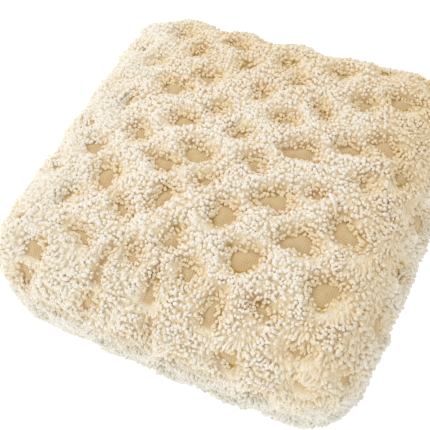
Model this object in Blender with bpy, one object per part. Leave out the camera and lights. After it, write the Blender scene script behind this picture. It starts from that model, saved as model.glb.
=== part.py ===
"""Square floor pouf covered in hand-knotted shag.

One filled body, a top panel and four side panels of shag with a staggered field of bare pits, and a
plain base cloth. Metres, +Z up, front towards -Y, origin at the centre of the base.
"""

import math

import bpy
import numpy as np

# Form of the woven ground under the pile
HALF_WIDTH = 0.265  # centre to side, before the bulge
TOP_HEIGHT = 0.205  # ground of the top, before the crown
BASE_HEIGHT = 0.003  # ground just above the base cloth
CORNER_RADIUS = 0.058  # rounding seen from above
TOP_ROLL = 0.063  # height of the rounding where the top turns into a side
BASE_ROLL = 0.035  # height of the rounding at the base
CROWN = 0.014  # rise of the filled top
SIDE_BULGE = 0.011  # swell of each side at its middle

# Unevenness of the filling: how far each corner of the form is pulled
CORNER_PULLS = (
    # side_x, side_y, pull_x, pull_y, lift
    (-1, -1, -0.003, 0.001, -0.006),
    (1, -1, -0.010, 0.000, 0.008),
    (1, 1, 0.012, 0.009, 0.004),
    (-1, 1, 0.002, -0.009, -0.005),
)

# Pile
WEAVE = 0.003  # thickness of the bare ground in a pit
PILE = 0.017  # ground and pile together
RIM_PILE = 0.011  # the same at the bottom rim, where the pile is pressed
PRESSED = 0.060  # the pile thins over this much of a side, down to the rim
LUMP = 0.0028  # height of the clumps of tufts
SEAM_DIP = 0.002  # the pile lies lower along a seam
RIGHT_SEAM_DIP = 0.006  # it parts wider where the top meets the right side
SEAM_SPREAD = 0.010  # how far from a seam the pile still leans

# Pits: bare patches at every second crossing of columns i, counted to the right, and rows j, counted
# to the front. Each is an ellipse: radius, length over width, and the turn of its length in degrees.
PIT_COLUMN_STEP = 0.0472
PIT_ROW_STEP = 0.0440
PIT_START = (-0.0984, 0.202)  # cloth place of column 0, row 0
PIT_TURN = math.radians(-1.8)  # the rows run askew to the edges
PIT_RADIUS = 0.0125
PIT_STRAY = 0.005  # how far an unlisted pit may lie from its crossing
TOP_PITS = (
    # column, row, stray to the right and to the back (mm), radius (mm), length over width, turn
    (-3, 1, 6, -8, 7, 1, 0),
    (-3, 3, 9, -8, 7, 1, 0),
    (-3, 5, 10, -5, 8, 1, 0),
    (-3, 7, 6, -8, 9, 1, 0),
    (-3, 9, 5, -9, 9, 1, 0),
    (-2, 0, 4, 0, 7, 1.2, 0),
    (-2, 2, -6, 8, 7, 1, 0),
    (-2, 4, 0, 8, 8, 1.2, 90),
    (-2, 6, -4, -2, 11, 1, 0),
    (-2, 8, 10, -8, 8, 1.4, 70),
    (-2, 10, 6, -5, 12, 1.4, 0),
    (-1, 1, 3, 12, 8, 1.5, 90),
    (-1, 3, 6, 12, 17, 1.3, 5),
    (-1, 5, 0, 0, 10, 1, 0),
    (-1, 7, -4, -1, 16, 1.5, -45),
    (-1, 9, 16, -9, 10, 1.7, -15),
    (0, 0, 8, 4, 10, 1.1, 0),
    (0, 2, -3, 5, 11, 1.2, 0),
    (0, 4, 6, 0, 12, 1.5, 10),
    (0, 6, 13, 7, 12, 1.6, -10),
    (0, 8, 0, 4, 10, 1.7, -45),
    (0, 10, 25, 4, 9, 2.2, 90),
    (1, 1, -6, 6, 8, 1.2, 0),
    (1, 3, -5, -7, 8, 1.4, 45),
    (1, 5, 6, -8, 17, 1.2, 0),
    (1, 7, -3, -2, 13, 1.4, 75),
    (1, 9, 2, -8, 8, 1.3, -50),
    (2, 0, 0, -8, 8, 1, 0),
    (2, 2, -5, 5, 8, 1, 0),
    (2, 4, -2, 5, 9, 1.2, 0),
    (2, 6, -8, 0, 9, 1.3, 20),
    (2, 8, -7, -12, 12, 1.4, 75),
    (2, 10, 6, 8, 8, 1.8, -30),
    (3, 1, -13, 5, 7, 1, 0),
    (3, 3, 0, 12, 9, 1.4, 0),
    (3, 5, -8, 7, 11, 1.3, 0),
    (3, 7, -8, 6, 15, 1.2, 0),
    (3, 9, -11, -4, 11, 1.5, -50),
    (4, 0, -8, 2, 9, 1.3, 0),
    (4, 2, -5, 2, 8, 1.6, -45),
    (4, 4, -5, 7, 18, 1.3, 0),
    (4, 6, -2, 7, 18, 1.1, 30),
    (4, 8, -3, 0, 18, 1.2, 0),
    (4, 10, -9, 9, 11, 1.6, 90),
    (5, 1, -2, -2, 11, 1.2, 0),
    (5, 3, 8, -3, 12, 1.6, 0),
    (5, 5, 0, -5, 8, 1.8, 0),
    (5, 7, 5, 6, 19, 1.2, 0),
    (5, 9, 4, -10, 9, 1.8, -10),
    (6, 0, -4, -19, 12, 1.6, 0),
    (6, 2, 4, -21, 14, 1.5, 0),
    (6, 4, 0, -5, 8, 1.2, 0),
    (6, 6, 7, 0, 18, 1.4, -40),
    (6, 8, 15, -1, 18, 1, 0),
    (6, 10, 15, 8, 8, 1.5, 0),
    (7, 3, -5, -12, 9, 1.5, 90),
)
FRONT_PITS = (
    # to the right of the middle and down from the top seam (mm), radius (mm), length over width, turn
    (-198, 19, 11, 1.4, -60),
    (-92, 18, 12, 1.6, 50),
    (0, 12, 10, 1.3, 90),
    (113, 19, 11, 1.9, 5),
    (208, 14, 12, 1.3, 0),
    (-235, 60, 10, 1, 0),
    (-145, 57, 13, 1.3, 0),
    (-38, 52, 10, 1.6, -10),
    (62, 55, 14, 1, 0),
    (162, 57, 11, 1, 0),
    (240, 60, 10, 1, 0),
    (-190, 100, 11, 1, 0),
    (-68, 92, 12, 1.3, 50),
    (25, 102, 12, 1, 0),
    (115, 106, 12, 1.2, 0),
    (206, 100, 11, 1, 0),
    (-120, 140, 12, 1, 0),
    (-22, 142, 12, 1, 0),
    (70, 144, 12, 1, 0),
    (165, 142, 12, 1, 0),
)
# crossings where the pile closes over the weave
CLOSED_PITS = ((7, 1), (7, 5), (7, 7), (7, 9))

# Locks along the bottom rim of each side
LOCK_EVERY = 2  # one lock for this many tufts
LOCK_REACH = 0.013  # how far a lock stands out from the pile
LOCK_DROP = 0.008
LOCK_RINGS = ((0.5, 0.92), (1.0, 0.45))  # part of the reach, size of the lock there
FLOOR_GAP = 0.0012  # lowest point of the pile above the floor

# Mesh
FINE = 4  # cells of the pile for one cell of the ground
TOP_CELLS = 44  # cells across the flat of a panel
SIDE_CELLS = 8  # cells down the upright part of a side
GAP = 0.0003  # between pieces that meet

BASE_CLOTH = 0.003
BASE_INSET = 0.985  # the base cloth stops just inside the side panels

FLAT = HALF_WIDTH - CORNER_RADIUS
ROLL_LENGTH = math.pi / 4 * (CORNER_RADIUS + TOP_ROLL) / 2
UPRIGHT = TOP_HEIGHT - BASE_HEIGHT - TOP_ROLL - BASE_ROLL
BASE_LENGTH = math.pi / 4 * (CORNER_RADIUS + BASE_ROLL) / 2
REACH = FLAT + ROLL_LENGTH  # centre of the top to a seam, along the cloth
DROP = ROLL_LENGTH + UPRIGHT + BASE_LENGTH  # seam to bottom rim, along the cloth


def smooth_step(value, start, end):
    """0 before start, 1 after end, eased between."""
    part = np.clip((value - start) / (end - start), 0, 1)
    return part * part * (3 - 2 * part)


def chance(i, j, kind):
    """A fixed number from 0 to 1 for each place (i, j)."""
    wave = np.sin(i * 12.9898 + j * 78.233 + kind * 37.719) * 43758.5453
    return wave - np.floor(wave)


def turn(points, quarter):
    """Turns points about Z by quarter turns."""
    x, y, z = np.moveaxis(points, -1, 0)
    cos, sin = ((1, 0), (0, 1), (-1, 0), (0, -1))[quarter]
    return np.stack([x * cos - y * sin, x * sin + y * cos, z], axis=-1)


def roll_over(distance):
    """Splits a distance from a panel's middle into its flat part and the slope of the turn past it."""
    flat = np.clip(distance, -FLAT, FLAT)
    return flat, np.tan(math.pi / 4 * (distance - flat) / ROLL_LENGTH)


def top_form(across, along, height):
    """Points of the top at this height over the ground, before it is filled."""
    flat_x, slope_x = roll_over(across)
    flat_y, slope_y = roll_over(along)
    normal = np.stack([slope_x, slope_y, np.ones_like(slope_x)], axis=-1)
    normal /= np.linalg.norm(normal, axis=-1, keepdims=True)
    core = np.stack([flat_x, flat_y, np.full_like(flat_x, TOP_HEIGHT - TOP_ROLL)], axis=-1)
    return core + normal * (CORNER_RADIUS, CORNER_RADIUS, TOP_ROLL) + normal * height[..., None]


def side_form(across, down, height):
    """The same for a side facing -Y, where down is measured from its top seam."""
    flat_x, slope_x = roll_over(across)
    above = np.clip(1 - down / ROLL_LENGTH, 0, 1)
    below = np.clip((down - ROLL_LENGTH - UPRIGHT) / BASE_LENGTH, 0, 1)
    slope_z = np.tan(math.pi / 4 * above) - np.tan(math.pi / 4 * below)
    normal = np.stack([slope_x, -np.ones_like(slope_x), slope_z], axis=-1)
    normal /= np.linalg.norm(normal, axis=-1, keepdims=True)
    level = TOP_HEIGHT - TOP_ROLL - np.clip(down - ROLL_LENGTH, 0, UPRIGHT)
    core = np.stack([flat_x, np.full_like(flat_x, -FLAT), level], axis=-1)
    roll = np.where(slope_z > 0, TOP_ROLL, BASE_ROLL)
    rounding = np.stack([np.full_like(roll, CORNER_RADIUS), np.full_like(roll, CORNER_RADIUS), roll], axis=-1)
    return core + normal * rounding + normal * height[..., None]


def fill(points):
    """Swells the plain form as a filling does: crown, side bulge, corners pulled out of true."""
    x, y, z = np.moveaxis(points, -1, 0)
    side_x = x / HALF_WIDTH
    side_y = y / HALF_WIDTH
    middle_x = np.clip(1 - side_x**2, 0, 1)
    middle_y = np.clip(1 - side_y**2, 0, 1)
    upper = np.clip(z / TOP_HEIGHT, 0, 1.2)
    belly = np.sin(math.pi * np.clip(z / TOP_HEIGHT, 0, 1))
    new_x = x + SIDE_BULGE * belly * middle_y * np.sign(x) * np.abs(side_x) ** 3
    new_y = y + SIDE_BULGE * belly * middle_x * np.sign(y) * np.abs(side_y) ** 3
    new_z = z + upper**2 * CROWN * middle_x * middle_y
    for corner_x, corner_y, pull_x, pull_y, lift in CORNER_PULLS:
        weight = np.clip(1 + corner_x * side_x, 0, 2) * np.clip(1 + corner_y * side_y, 0, 2) / 4
        new_x = new_x + pull_x * weight
        new_y = new_y + pull_y * weight
        new_z = new_z + lift * weight * upper**2
    return np.stack([new_x, new_y, new_z], axis=-1)


def pit_shape(away, radius):
    """1 over the bare middle of a pit, falling to 0 where the pile is full again."""
    return 1 - smooth_step(away, 0.45 * radius, 1.15 * radius)


def oval(away_right, away_back, stretch, turned):
    """Distance from the middle of an ellipse, measured as if it were a circle of the same area."""
    cos, sin = math.cos(math.radians(turned)), math.sin(math.radians(turned))
    lengthways = away_right * cos + away_back * sin
    crossways = away_back * cos - away_right * sin
    return np.hypot(lengthways / math.sqrt(stretch), crossways * math.sqrt(stretch))


def pits(u, v):
    """How bare the cloth is at (u, v): 1 in a pit, 0 in full pile."""
    cos, sin = math.cos(PIT_TURN), math.sin(PIT_TURN)
    column = (u * cos + v * sin - PIT_START[0]) / PIT_COLUMN_STEP
    row = (PIT_START[1] - v * cos + u * sin) / PIT_ROW_STEP
    listed = {(i, j): (right / 1000, back / 1000, radius / 1000, *form) for i, j, right, back, radius, *form in TOP_PITS}
    bare = np.zeros_like(u)
    for i in range(math.floor(column.min()), math.ceil(column.max()) + 1):
        for j in range(math.floor(row.min()), math.ceil(row.max()) + 1):
            if (i + j) % 2 or (i, j) in CLOSED_PITS:
                continue
            plain = (
                PIT_STRAY * (2 * chance(i, j, 1) - 1),
                PIT_STRAY * (2 * chance(i, j, 2) - 1),
                PIT_RADIUS * (0.75 + 0.5 * chance(i, j, 3)),
                1.0 + 0.5 * chance(i, j, 4),
                180 * chance(i, j, 5),
            )
            right, back, radius, stretch, turned = listed.get((i, j), plain)
            away_u = (column - i) * PIT_COLUMN_STEP - right
            away_v = (j - row) * PIT_ROW_STEP - back
            bare = np.maximum(bare, pit_shape(oval(away_u, away_v, stretch, turned), radius))
    return bare


def front_pits(across, down):
    """The same on the front panel, whose pits don't meet those of the top."""
    bare = np.zeros_like(across)
    for right, below, radius, stretch, turned in FRONT_PITS:
        away = oval(across - right / 1000, below / 1000 - down, stretch, turned)
        bare = np.maximum(bare, pit_shape(away, radius / 1000))
    return bare


def clumps(u, v):
    """Low waves of leaning tufts, from -1 to 1."""
    slow = np.sin(210 * u + 2.1 * np.sin(95 * v)) * np.sin(190 * v + 1.7 * np.sin(120 * u))
    fine = 2 * chance(np.round(u * 400), np.round(v * 400), 5) - 1
    return 0.55 * slow + 0.45 * fine


def cloth_place(quarter, across, down):
    """Where a point of a side lies on the cloth, when it is laid flat around the top."""
    place = np.stack([across, -(REACH + down), np.zeros_like(across)], axis=-1)
    u, v, _ = np.moveaxis(turn(place, quarter), -1, 0)
    return u, v


def seam_lean(distance, dip):
    """How much lower the pile lies at this distance from a seam."""
    return dip * np.exp(-((distance / SEAM_SPREAD) ** 2))


def pile_height(u, v, bare):
    """Height of the pile's surface over the ground, down to the bare weave in a pit."""
    full = PILE + LUMP * clumps(u, v)
    return full + (WEAVE - full) * bare


def spaced(*stretches):
    """Distances along a panel from stretches of (start, end, cells)."""
    rows = [np.linspace(start, end, cells + 1)[:-1] for start, end, cells in stretches]
    return np.append(np.concatenate(rows), stretches[-1][1])


def panel_lines():
    """Grid lines across a panel and down a side, finer along the rolls and clear of the seams."""
    edge = REACH - GAP / 2
    across = spaced((-edge, -FLAT, FINE), (-FLAT, FLAT, TOP_CELLS), (FLAT, edge, FINE))
    low = ROLL_LENGTH + UPRIGHT
    down = spaced((GAP / 2, ROLL_LENGTH, FINE), (ROLL_LENGTH, low, SIDE_CELLS), (low, DROP, FINE))
    return across, down


def perimeter(rows, columns, step):
    """Grid places round the edge of a grid, one for each step."""
    first = [(0, column) for column in range(0, columns, step)]
    second = [(row, columns) for row in range(0, rows, step)]
    third = [(rows, column) for column in range(columns, 0, -step)]
    fourth = [(row, 0) for row in range(rows, 0, -step)]
    return first + second + third + fourth


def grid_faces(rows, columns, first_index):
    """Quads of a grid whose rows run one after another from first_index."""
    wide = columns + 1
    faces = []
    for row in range(rows):
        for column in range(columns):
            corner = first_index + row * wide + column
            faces.append((corner, corner + 1, corner + wide + 1, corner + wide))
    return faces


def halves(faces):
    """Each quad as two triangles along the same diagonal, so that two copies of a grid stay parallel."""
    return [tri for a, b, c, d in faces for tri in ((a, b, c), (a, c, d))]


def slab(outer, inner):
    """Points and faces of a closed slab from a fine outer grid and a ground grid FINE times coarser."""
    rows, columns = outer.shape[0] - 1, outer.shape[1] - 1
    ground_start = outer.shape[0] * outer.shape[1]
    points = np.concatenate([outer.reshape(-1, 3), inner.reshape(-1, 3)]).tolist()
    faces = grid_faces(rows, columns, 0)
    for tri in halves(grid_faces(rows // FINE, columns // FINE, ground_start)):
        faces.append(tri[::-1])
    fine = [row * (columns + 1) + column for row, column in perimeter(rows, columns, 1)]
    wide = columns // FINE + 1
    coarse = [
        ground_start + row // FINE * wide + column // FINE
        for row, column in perimeter(rows, columns, FINE)
    ]
    for k, low in enumerate(coarse):
        next_low = coarse[(k + 1) % len(coarse)]
        edge = [fine[(k * FINE + step) % len(fine)] for step in range(FINE + 1)]
        middle = FINE // 2
        for step in range(FINE):
            anchor = low if step < middle else next_low
            faces.append((edge[step + 1], edge[step], anchor))
        faces.append((edge[middle], low, next_low))
    return points, faces


def add_locks(points, faces, columns, quarter):
    """Draws a curled four-sided lock out of every LOCK_EVERY-th tuft just above the bottom rim."""
    row = 1
    chosen = [row * columns + column for column in range(FINE, columns - FINE, LOCK_EVERY)]
    outward = turn(np.array([0.0, -1.0, 0.0]), quarter)
    for number, index in enumerate(chosen):
        face = faces[index]
        root = np.array([points[corner] for corner in face])
        centre = root.mean(axis=0)
        lean = 2 * chance(number, quarter, 7) - 1
        reach = LOCK_REACH * (0.75 + 0.5 * chance(number, quarter, 8))
        sideways = turn(np.array([0.004 * lean, 0.0, 0.0]), quarter)
        previous = face
        for part, size in LOCK_RINGS:
            drop = np.array([0.0, 0.0, -LOCK_DROP * part**2])
            ring = centre + (root - centre) * size + outward * reach * part + sideways * part + drop
            ring[:, 2] = np.maximum(ring[:, 2], FLOOR_GAP)
            start = len(points)
            points.extend(ring.tolist())
            current = tuple(range(start, start + 4))
            for side in range(4):
                other = (side + 1) % 4
                faces.append((previous[side], previous[other], current[other], current[side]))
            previous = current
        faces[index] = previous


def make_material(name, colour, roughness):
    material = bpy.data.materials.new(name)
    material.use_nodes = True
    shader = material.node_tree.nodes["Principled BSDF"]
    shader.inputs["Base Color"].default_value = (*colour, 1)
    shader.inputs["Roughness"].default_value = roughness
    shader.inputs["Metallic"].default_value = 0
    material.diffuse_color = (*colour, 1)
    return material


def make_object(name, points, faces, material, smooth=True):
    mesh = bpy.data.meshes.new(name)
    mesh.from_pydata(points, [], faces)
    mesh.validate()
    if smooth:
        mesh.shade_smooth()
    mesh.materials.append(material)
    piece = bpy.data.objects.new(name, mesh)
    bpy.context.scene.collection.objects.link(piece)
    return piece


def build_top(material):
    across, _ = panel_lines()
    v, u = np.meshgrid(across, across, indexing="ij")
    nearest_seam = np.minimum(REACH + u, REACH - np.abs(v))
    height = pile_height(u, v, pits(u, v))
    height = height - seam_lean(nearest_seam, SEAM_DIP) - seam_lean(REACH - u, RIGHT_SEAM_DIP)
    outer = fill(top_form(u, v, np.maximum(height, WEAVE)))
    coarse = across[::FINE]
    v, u = np.meshgrid(coarse, coarse, indexing="ij")
    inner = fill(top_form(u, v, np.full_like(u, GAP / 2)))
    points, faces = slab(outer, inner)
    return make_object("top_panel", points, faces, material)


def build_side(name, quarter, material):
    across, down = panel_lines()
    # Rows run upwards, so that the faces of the grid point outwards.
    s, a = np.meshgrid(down[::-1], across, indexing="ij")
    u, v = cloth_place(quarter, a, s)
    dip = RIGHT_SEAM_DIP if name == "right_panel" else SEAM_DIP
    height = pile_height(u, v, front_pits(a, s) if quarter == 0 else pits(u, v))
    height = height - seam_lean(s, dip) - seam_lean(REACH - np.abs(a), SEAM_DIP)
    pressed = smooth_step(s, DROP - PRESSED, DROP)
    height = height - (PILE - RIM_PILE) * pressed
    outer = side_form(a, s, np.maximum(height, WEAVE))
    outer = fill(turn(outer, quarter))
    outer[..., 2] = np.maximum(outer[..., 2], FLOOR_GAP)
    s, a = np.meshgrid(down[::-FINE], across[::FINE], indexing="ij")
    inner = fill(turn(side_form(a, s, np.full_like(a, GAP / 2)), quarter))
    points, faces = slab(outer, inner)
    add_locks(points, faces, outer.shape[1] - 1, quarter)
    return make_object(name, points, faces, material)


def base_outline(height):
    """Ring of points under the bottom rim of the four sides, in order round the base."""
    across, _ = panel_lines()
    a = across[:-1:FINE]
    s = np.full_like(a, DROP)
    sides = [fill(turn(side_form(a, s, np.full_like(a, -GAP)), quarter)) for quarter in range(4)]
    ring = np.concatenate(sides) * (BASE_INSET, BASE_INSET, 0)
    return ring + (0, 0, height)


def build_body(material):
    """The filled form: the ground's own grids, a little inside the panels, closed by a flat base."""
    coarse, down = panel_lines()
    coarse = coarse[::FINE].copy()
    coarse[[0, -1]] = (-REACH, REACH)
    down = down[::-FINE].copy()
    down[-1] = 0
    v, u = np.meshgrid(coarse, coarse, indexing="ij")
    inset = np.full_like(u, -GAP / 2)
    grids = [fill(top_form(u, v, inset))]
    s, a = np.meshgrid(down, coarse, indexing="ij")
    inset = np.full_like(a, -GAP / 2)
    grids += [fill(turn(side_form(a, s, inset), quarter)) for quarter in range(4)]
    points = []
    faces = []
    for grid in grids:
        faces += halves(grid_faces(grid.shape[0] - 1, grid.shape[1] - 1, len(points)))
        points += grid.reshape(-1, 3).tolist()
    # The base: a skirt from each side's lowest row to the flat ring, then the flat face.
    ring_start = len(points)
    ring = base_outline(BASE_CLOTH + GAP)
    points += ring.tolist()
    columns = len(coarse) - 1
    grid_size = len(coarse) * len(down)
    top_size = len(coarse) ** 2
    for quarter in range(4):
        row_start = top_size + quarter * grid_size
        for column in range(columns):
            here = ring_start + quarter * columns + column
            after = ring_start + (quarter * columns + column + 1) % len(ring)
            faces.append((here, after, row_start + column + 1))
            faces.append((here, row_start + column + 1, row_start + column))
    faces.append(tuple(range(ring_start, ring_start + len(ring)))[::-1])
    body = make_object("filled_body", points, faces, material)
    weld = body.modifiers.new("join the grids", "WELD")
    weld.merge_threshold = 0.00002
    return body


def build_base(material):
    """A flat cloth under the body, in plan the body's own base."""
    ring = base_outline(0)
    count = len(ring)
    points = np.concatenate([ring, ring + (0, 0, BASE_CLOTH)]).tolist()
    faces = [tuple(range(count))[::-1], tuple(range(count, 2 * count))]
    for k in range(count):
        after = (k + 1) % count
        faces.append((k, after, after + count, k + count))
    return make_object("base_panel", points, faces, material, smooth=False)


def centre_over_origin(pieces):
    """Moves the whole pouf sideways so that its outline is centred on the origin."""
    bpy.context.view_layer.update()
    points = np.array([tuple(vertex.co) for piece in pieces for vertex in piece.data.vertices])
    middle = (points.min(axis=0) + points.max(axis=0)) / 2
    for piece in pieces:
        piece.location = (-middle[0], -middle[1], 0)


def main():
    for old in list(bpy.data.objects):
        bpy.data.objects.remove(old, do_unlink=True)
    shag = make_material("hand-knotted wool shag", (0.86, 0.77, 0.62), 0.95)
    ground = make_material("woven wool ground", (0.72, 0.55, 0.33), 0.95)
    canvas = make_material("cotton canvas", (0.74, 0.68, 0.56), 0.9)
    pieces = [build_body(ground), build_top(shag), build_base(canvas)]
    for quarter, name in enumerate(("front_panel", "right_panel", "back_panel", "left_panel")):
        pieces.append(build_side(name, quarter, shag))
    centre_over_origin(pieces)


main()
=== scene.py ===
import math

import bpy
import numpy as np
from mathutils import Matrix, Vector


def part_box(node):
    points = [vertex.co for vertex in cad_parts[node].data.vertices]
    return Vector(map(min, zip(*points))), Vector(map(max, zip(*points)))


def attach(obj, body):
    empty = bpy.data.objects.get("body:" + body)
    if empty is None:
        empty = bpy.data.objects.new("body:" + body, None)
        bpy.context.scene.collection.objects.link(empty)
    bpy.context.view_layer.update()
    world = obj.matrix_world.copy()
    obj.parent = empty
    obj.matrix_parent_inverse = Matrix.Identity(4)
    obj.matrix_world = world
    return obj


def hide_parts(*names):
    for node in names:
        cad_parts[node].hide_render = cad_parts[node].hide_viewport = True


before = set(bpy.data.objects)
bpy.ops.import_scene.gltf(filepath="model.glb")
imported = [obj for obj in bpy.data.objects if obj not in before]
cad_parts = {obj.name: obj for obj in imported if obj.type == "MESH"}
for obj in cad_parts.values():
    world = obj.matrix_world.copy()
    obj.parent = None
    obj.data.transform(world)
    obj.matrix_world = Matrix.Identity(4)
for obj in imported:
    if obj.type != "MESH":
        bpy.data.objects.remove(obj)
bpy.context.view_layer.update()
print("frame loaded:", sorted(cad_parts))

# The filled form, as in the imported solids. Metres, +Z up, front towards -Y.
form = {
    "halfWidth": 0.265,      # centre to side, before the bulge
    "topHeight": 0.205,      # ground of the top, before the crown
    "baseHeight": 0.003,
    "cornerRadius": 0.058,   # seen from above
    "topRoll": 0.063,        # height of the rounding from top to side
    "baseRoll": 0.035,
    "crown": 0.014,
    "sideBulge": 0.011,
    "basePoints": 44,        # points of the base's outline along each side
    "baseInset": 0.985,      # the base's outline over that of the bottom rim
    "corners": (             # side x, side y, pull x, pull y, lift
        (-1, -1, -0.003, 0.001, -0.006),
        (1, -1, -0.010, 0.000, 0.008),
        (1, 1, 0.012, 0.009, 0.004),
        (-1, 1, 0.002, -0.009, -0.005),
    ),
}
flat = form["halfWidth"] - form["cornerRadius"]
rollLength = math.pi / 4 * (form["cornerRadius"] + form["topRoll"]) / 2
upright = form["topHeight"] - form["baseHeight"] - form["topRoll"] - form["baseRoll"]
baseLength = math.pi / 4 * (form["cornerRadius"] + form["baseRoll"]) / 2
reach = flat + rollLength            # middle of the top to a seam, along the cloth
drop = rollLength + upright + baseLength   # seam to bottom rim, along the cloth

# Pits: bare ovals at crossings where column + row is even. Columns count to the right, rows to the front.
pitField = {
    "columnStep": 0.0472,
    "rowStep": 0.0440,
    "start": (-0.0984, 0.202),   # the crossing of column 0 and row 0, right of and behind the middle
    "turn": math.radians(-1.8),
    "radius": 0.0125,        # of a pit that isn't listed, give or take a quarter
    "stray": 0.005,          # of such a pit, at most, each way
    "spread": 1.12,          # every pit is this many times as wide as its radius says
    "ragged": (0.12, 0.13),  # how far its edge wanders, in two and in three waves round it
    # stray to the right and to the back (mm), radius (mm), length over width, turn of the length;
    # None where the pile closes over the crossing
    "top": {
        (-3, 1): (6, -8, 7, 1, 0), (-3, 3): (9, -8, 7, 1, 0), (-3, 5): (10, -5, 8, 1, 0),
        (-3, 7): (6, -8, 9, 1, 0), (-3, 9): (5, -9, 9, 1, 0), (-2, 0): (4, 0, 7, 1.2, 0),
        (-2, 2): (-6, 8, 7, 1, 0), (-2, 4): (0, 8, 8, 1.2, 90), (-2, 6): (-4, -2, 11, 1, 0),
        (-2, 8): (10, -8, 8, 1.4, 70), (-2, 10): (6, -5, 12, 1.4, 0), (-1, 1): (3, 12, 8, 1.5, 90),
        (-1, 3): (6, 12, 15, 1.4, 5), (-1, 5): (0, 0, 10, 1, 0), (-1, 7): (-4, -1, 15, 1.5, -45),
        (-1, 9): (16, -9, 10, 1.7, -15), (0, 0): (8, 4, 10, 1.1, 0), (0, 2): (-3, 5, 11, 1.2, 0),
        (0, 4): (6, 0, 12, 1.5, 10), (0, 6): (13, 7, 12, 1.6, -10), (0, 8): (0, 4, 10, 1.7, -45),
        (0, 10): (19, 2, 11, 4.5, 88), (1, 1): (-6, 6, 8, 1.2, 0), (1, 3): (-5, -7, 8, 1.4, 45),
        (1, 5): (6, -8, 16, 1.2, 0), (1, 7): (-3, -2, 13, 1.4, 75), (1, 9): (2, -8, 8, 1.3, -50),
        (2, 0): (0, -8, 8, 1, 0), (2, 2): (-5, 5, 8, 1, 0), (2, 4): (-2, 5, 9, 1.2, 0),
        (2, 6): (-8, 0, 9, 1.3, 20), (2, 8): (-7, -12, 12, 1.4, 75), (2, 10): (0, 2, 10, 4.0, 95),
        (3, 1): (-13, 5, 7, 1, 0), (3, 3): (0, 12, 9, 1.4, 0), (3, 5): (-8, 7, 11, 1.3, 0),
        (3, 7): (-8, 6, 15, 1.2, 0), (3, 9): (-11, -4, 11, 1.5, -50), (4, 0): (-8, 2, 9, 1.3, 0),
        (4, 2): (-5, 2, 8, 1.6, -45), (4, 4): (-5, 7, 16, 1.4, 0), (4, 6): (-2, 7, 17, 1.2, 30),
        (4, 8): (-3, 0, 16, 1.3, 0), (4, 10): (-9, 9, 11, 1.6, 90), (5, 1): (-2, -2, 11, 1.2, 0),
        (5, 3): (8, -3, 12, 1.6, 0), (5, 5): (0, -5, 8, 1.8, 0), (5, 7): (5, 6, 17, 1.3, 0),
        (5, 9): (4, -10, 9, 1.8, -10), (6, 0): (-4, -19, 12, 1.6, 0), (6, 2): (4, -21, 14, 1.5, 0),
        (6, 4): (0, -5, 8, 1.2, 0), (6, 6): (7, 0, 16, 1.4, -40), (6, 8): (15, -1, 16, 1.1, 0),
        (6, 10): (15, 8, 6, 1.6, 0), (7, 1): None, (7, 3): (-5, -12, 9, 1.5, 90),
        (7, 5): None, (7, 7): None, (7, 9): None,
    },
    # right of the middle and down from the top seam (mm), radius (mm), length over width, turn
    "front": (
        (-198, 19, 11, 1.4, -60), (-94, 19, 12, 2.2, 60), (0, 14, 10, 2.6, 90), (113, 19, 11, 1.9, 5),
        (208, 14, 7, 1.5, 0), (-235, 60, 9, 1, 0), (-145, 57, 11, 3.0, -5), (-38, 52, 11, 3.0, -10),
        (62, 55, 12, 2.6, 0), (162, 57, 7, 1.4, 0), (240, 60, 7, 1, 0), (-190, 100, 10, 1, 0),
        (-68, 92, 10, 1.4, 50), (25, 102, 10, 1.2, 0), (115, 106, 9, 1.3, 0), (206, 100, 8, 1, 0),
        (-120, 140, 10, 1.2, 0), (-22, 142, 10, 1.2, 0), (70, 144, 10, 1, 0), (165, 142, 9, 1, 0),
    ),
}

panels = {"top": None, "front": 0, "right": 1, "back": 2, "left": 3}   # quarter turns from the front


def smoothStep(value, start, end):
    # 0 before start, 1 past end, and an even S between them
    part = np.clip((value - start) / (end - start), 0, 1)
    return part * part * (3 - 2 * part)


def chance(i, j, kind):
    # a fixed number from 0 to 1 for each place (i, j)
    wave = np.sin(i * 12.9898 + j * 78.233 + kind * 37.719) * 43758.5453
    return wave - np.floor(wave)


def turned(points, quarter):
    # points turned about Z by so many quarter turns
    x, y, z = np.moveaxis(points, -1, 0)
    cos, sin = ((1, 0), (0, 1), (-1, 0), (0, -1))[quarter]
    return np.stack([x * cos - y * sin, x * sin + y * cos, z], axis=-1)


def rollOver(distance):
    # a distance from a panel's middle is a flat part, then the slope of the turn past it, up to 63 degrees
    level = np.clip(distance, -flat, flat)
    angle = np.clip((distance - level) / rollLength, -1.4, 1.4) * math.pi / 4
    return level, np.tan(angle)


def topForm(across, along, height):
    # a flat square whose edges turn down by 45 degrees: core point + radius times unit normal
    levelX, slopeX = rollOver(across)
    levelY, slopeY = rollOver(along)
    normal = np.stack([slopeX, slopeY, np.ones_like(slopeX)], axis=-1)
    normal /= np.linalg.norm(normal, axis=-1, keepdims=True)
    core = np.stack([levelX, levelY, np.full_like(levelX, form["topHeight"] - form["topRoll"])], axis=-1)
    radii = (form["cornerRadius"], form["cornerRadius"], form["topRoll"])
    return core + normal * radii + normal * height[..., None]


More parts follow.
